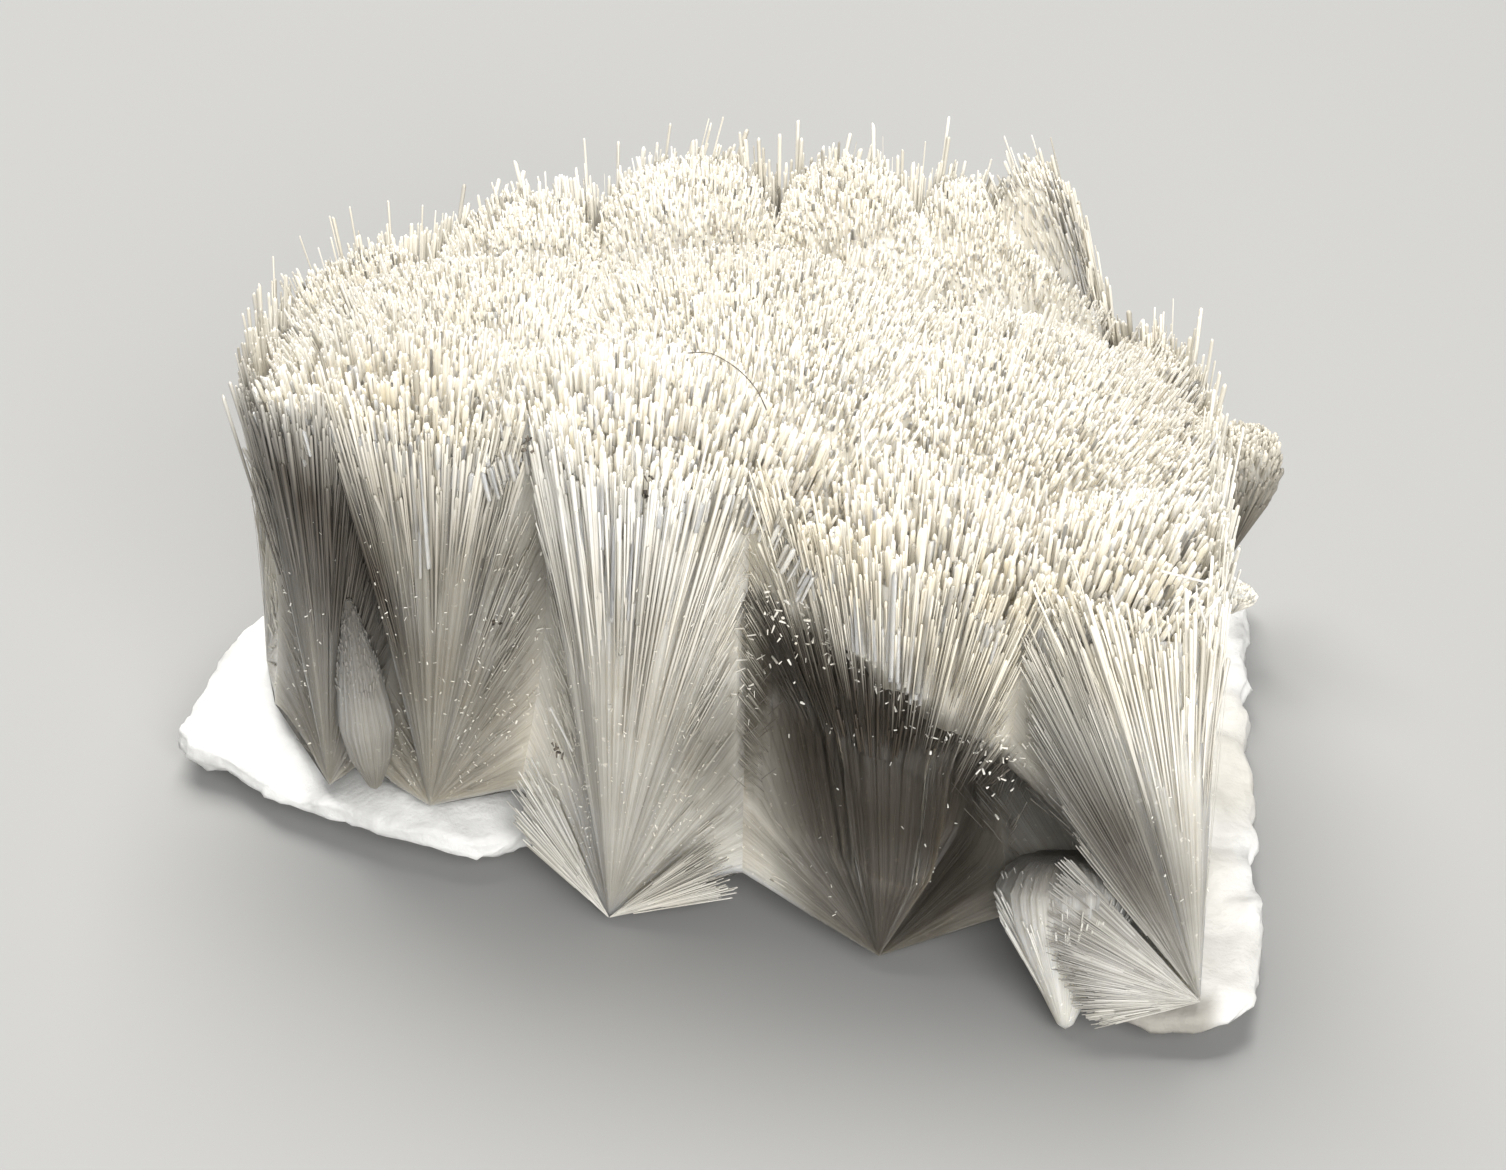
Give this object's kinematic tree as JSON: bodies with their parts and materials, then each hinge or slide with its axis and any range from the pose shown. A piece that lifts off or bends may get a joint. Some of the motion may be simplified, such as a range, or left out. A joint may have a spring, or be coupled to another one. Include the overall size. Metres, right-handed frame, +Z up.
{
  "type": "artinite on matrix",
  "caption": "Mineral specimen: a dense carpet of radiating cream-white artinite needles, broken off to show fans of silky needles at the front, on a thin white matrix plate.",
  "frame": {"origin": "middle of the footprint, on the surface that the matrix rests on", "axes": "+Z up out of the matrix, +X to the right along the broken front, -Y towards the broken front"},
  "size_m": [0.034, 0.024, 0.0179],
  "materials": {
    "matrix_white": null,
    "artinite_needles": null
  },
  "bodies": {
    "root": {"matrix": "matrix_white", "artinite_sprays": "artinite_needles", "side_tuft": "artinite_needles", "small_tuft": "artinite_needles"}
  },
  "joints": []
}
